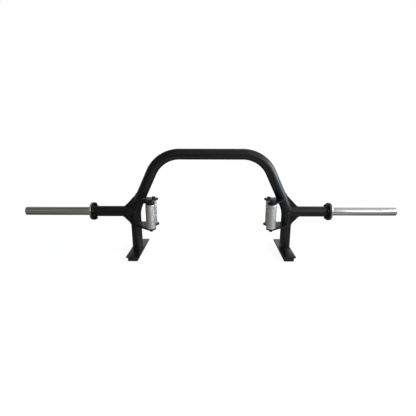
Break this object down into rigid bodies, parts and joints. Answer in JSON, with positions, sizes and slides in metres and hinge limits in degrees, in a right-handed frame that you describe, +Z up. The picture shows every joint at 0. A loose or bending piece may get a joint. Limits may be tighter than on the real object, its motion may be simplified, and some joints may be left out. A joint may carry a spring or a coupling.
{
  "type": "half hex trap bar",
  "caption": "Open half hex trap bar: bent tube arch with jack feet, gusseted side arms with bolted plate sleeves, and thick and thin spinning upright grips on each side.",
  "frame": {"origin": "on the floor under the arch, midway between the two feet and in the plane of the arch", "axes": "+X along the plate sleeves, -Y towards the side with the thick grips, +Z up the arch from its feet"},
  "size_m": [2.268, 0.305, 0.6462],
  "materials": {
    "black_powder_coat": "satin black powder coat",
    "black_oxide": "black oxide on fasteners",
    "chrome": "bright chrome plate",
    "knurled_steel": "plated, with a fine diamond knurl",
    "rubber": "matt black rubber",
    "nylon": "plain black nylon"
  },
  "bodies": {
    "frame": {"arch_tube": "black_powder_coat", "arm_flange_left": "black_powder_coat", "arm_flange_right": "black_powder_coat", "arm_tube_left": "black_powder_coat", "arm_tube_right": "black_powder_coat", "fat_grip_bolt_left": "black_oxide", "fat_grip_bolt_right": "black_oxide", "fat_grip_nut_left": "black_oxide", "fat_grip_nut_right": "black_oxide", "fat_grip_spacer_left": "black_powder_coat", "fat_grip_spacer_right": "black_powder_coat", "flange_screw_left_1": "black_oxide", "flange_screw_left_2": "black_oxide", "flange_screw_left_3": "black_oxide", "flange_screw_left_4": "black_oxide", "flange_screw_left_5": "black_oxide", "flange_screw_left_6": "black_oxide", "flange_screw_right_1": "black_oxide", "flange_screw_right_2": "black_oxide", "flange_screw_right_3": "black_oxide", "flange_screw_right_4": "black_oxide", "flange_screw_right_5": "black_oxide", "flange_screw_right_6": "black_oxide", "foot_pad_left": "rubber", "foot_pad_right": "rubber", "foot_plate_left": "black_powder_coat", "foot_plate_right": "black_powder_coat", "foot_screw_left_front": "black_oxide", "foot_screw_left_rear": "black_oxide", "foot_screw_right_front": "black_oxide", "foot_screw_right_rear": "black_oxide", "lower_gusset_left": "black_powder_coat", "lower_gusset_right": "black_powder_coat", "lower_handle_plate_left": "black_powder_coat", "lower_handle_plate_right": "black_powder_coat", "sleeve_end_cap_left": "chrome", "sleeve_end_cap_right": "chrome", "sleeve_flange_left": "chrome", "sleeve_flange_right": "chrome", "sleeve_tube_left": "chrome", "sleeve_tube_right": "chrome", "thin_grip_bolt_left": "black_oxide", "thin_grip_bolt_right": "black_oxide", "thin_grip_nut_left": "black_oxide", "thin_grip_nut_right": "black_oxide", "thin_grip_spacer_left": "black_powder_coat", "thin_grip_spacer_right": "black_powder_coat", "upper_gusset_left": "black_powder_coat", "upper_gusset_right": "black_powder_coat", "upper_handle_plate_left": "black_powder_coat", "upper_handle_plate_right": "black_powder_coat"},
    "left_fat_grip": {"fat_grip_left": "knurled_steel", "grip_bush_lower_left": "nylon", "grip_bush_upper_left": "nylon"},
    "right_fat_grip": {"fat_grip_right": "knurled_steel", "grip_bush_lower_right": "nylon", "grip_bush_upper_right": "nylon"},
    "left_thin_grip": {"thin_grip_left": "knurled_steel"},
    "right_thin_grip": {"thin_grip_right": "knurled_steel"}
  },
  "joints": [
    {"name": "left_fat_grip_spin", "type": "hinge", "parent": "frame", "child": "left_fat_grip", "pos_m": [-0.354, -0.1, 0.265], "axis": [0, 0, 1], "continuous": true},
    {"name": "right_fat_grip_spin", "type": "hinge", "parent": "frame", "child": "right_fat_grip", "pos_m": [0.354, -0.1, 0.265], "axis": [0, 0, 1], "continuous": true},
    {"name": "left_thin_grip_spin", "type": "hinge", "parent": "frame", "child": "left_thin_grip", "pos_m": [-0.35, -0.005, 0.265], "axis": [0, 0, 1], "continuous": true},
    {"name": "right_thin_grip_spin", "type": "hinge", "parent": "frame", "child": "right_thin_grip", "pos_m": [0.35, -0.005, 0.265], "axis": [0, 0, 1], "continuous": true}
  ]
}
